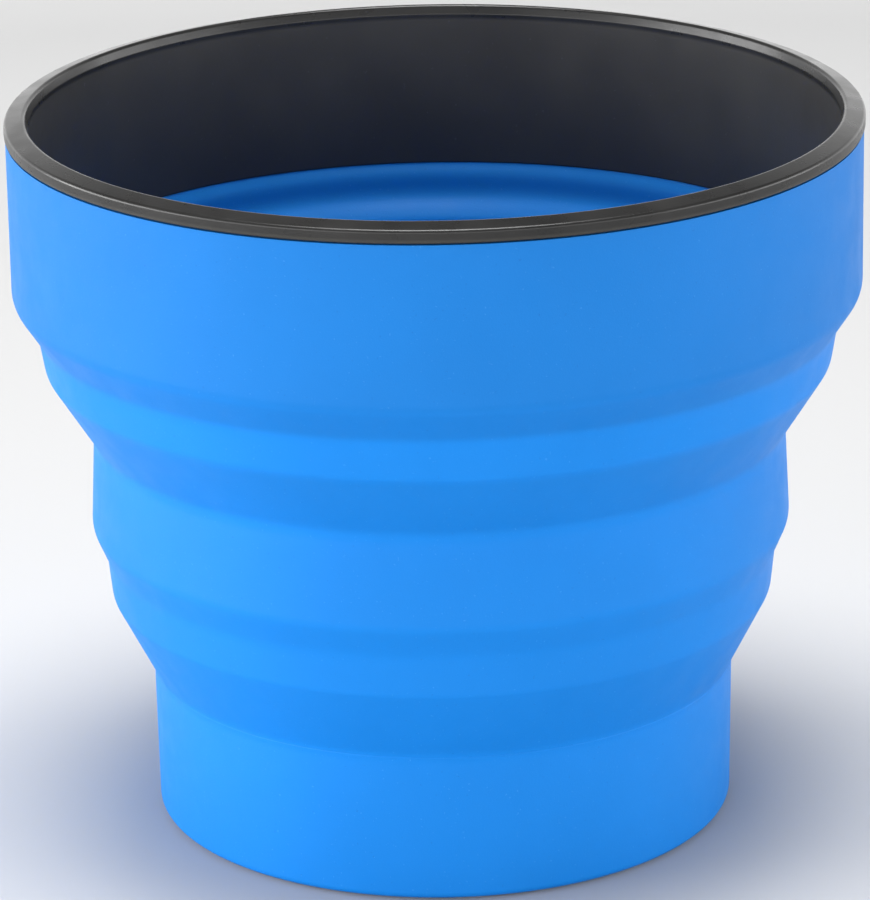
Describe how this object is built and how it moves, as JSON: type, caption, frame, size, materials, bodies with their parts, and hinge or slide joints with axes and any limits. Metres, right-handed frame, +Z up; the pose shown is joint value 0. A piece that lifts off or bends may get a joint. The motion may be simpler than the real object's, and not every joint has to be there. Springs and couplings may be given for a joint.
{
  "type": "collapsible cup",
  "caption": "Round tapering silicone cup that telescopes down on four living hinges, held open by a rigid rim collar.",
  "frame": {"origin": "centre of the foot ring on the table plane", "axes": "+Z up along the cup's axis towards the rim; the cup is turned about Z, so X and Y are equivalent"},
  "size_m": [0.1, 0.1, 0.0855],
  "materials": {
    "silicone": "satin matte blue silicone with a fine powdery grain",
    "collar_plastic": "satin charcoal moulded plastic, softly shining on the rim bead"
  },
  "bodies": {
    "base": {"base_wall": "silicone", "base_floor": "silicone", "lower_fold_web": "silicone"},
    "lower_ring": {"lower_ring": "silicone", "lower_ledge_web": "silicone"},
    "middle_band": {"middle_band": "silicone", "upper_fold_web": "silicone"},
    "upper_ring": {"upper_ring": "silicone", "upper_ledge_web": "silicone"},
    "collar": {"rim_collar": "collar_plastic", "top_band": "silicone"}
  },
  "joints": [
    {"name": "lower_fold", "type": "slide", "parent": "base", "child": "lower_ring", "axis": [0, 0, -1], "range_m": [0, 0.0186], "deforming": ["lower_fold_web"]},
    {"name": "lower_ledge_fold", "type": "slide", "parent": "lower_ring", "child": "middle_band", "axis": [0, 0, -1], "range_m": [0, 0.0076], "deforming": ["lower_ledge_web"]},
    {"name": "upper_fold", "type": "slide", "parent": "middle_band", "child": "upper_ring", "axis": [0, 0, -1], "range_m": [0, 0.0172], "deforming": ["upper_fold_web"]},
    {"name": "upper_ledge_fold", "type": "slide", "parent": "upper_ring", "child": "collar", "axis": [0, 0, -1], "range_m": [0, 0.0074], "deforming": ["upper_ledge_web"]}
  ]
}
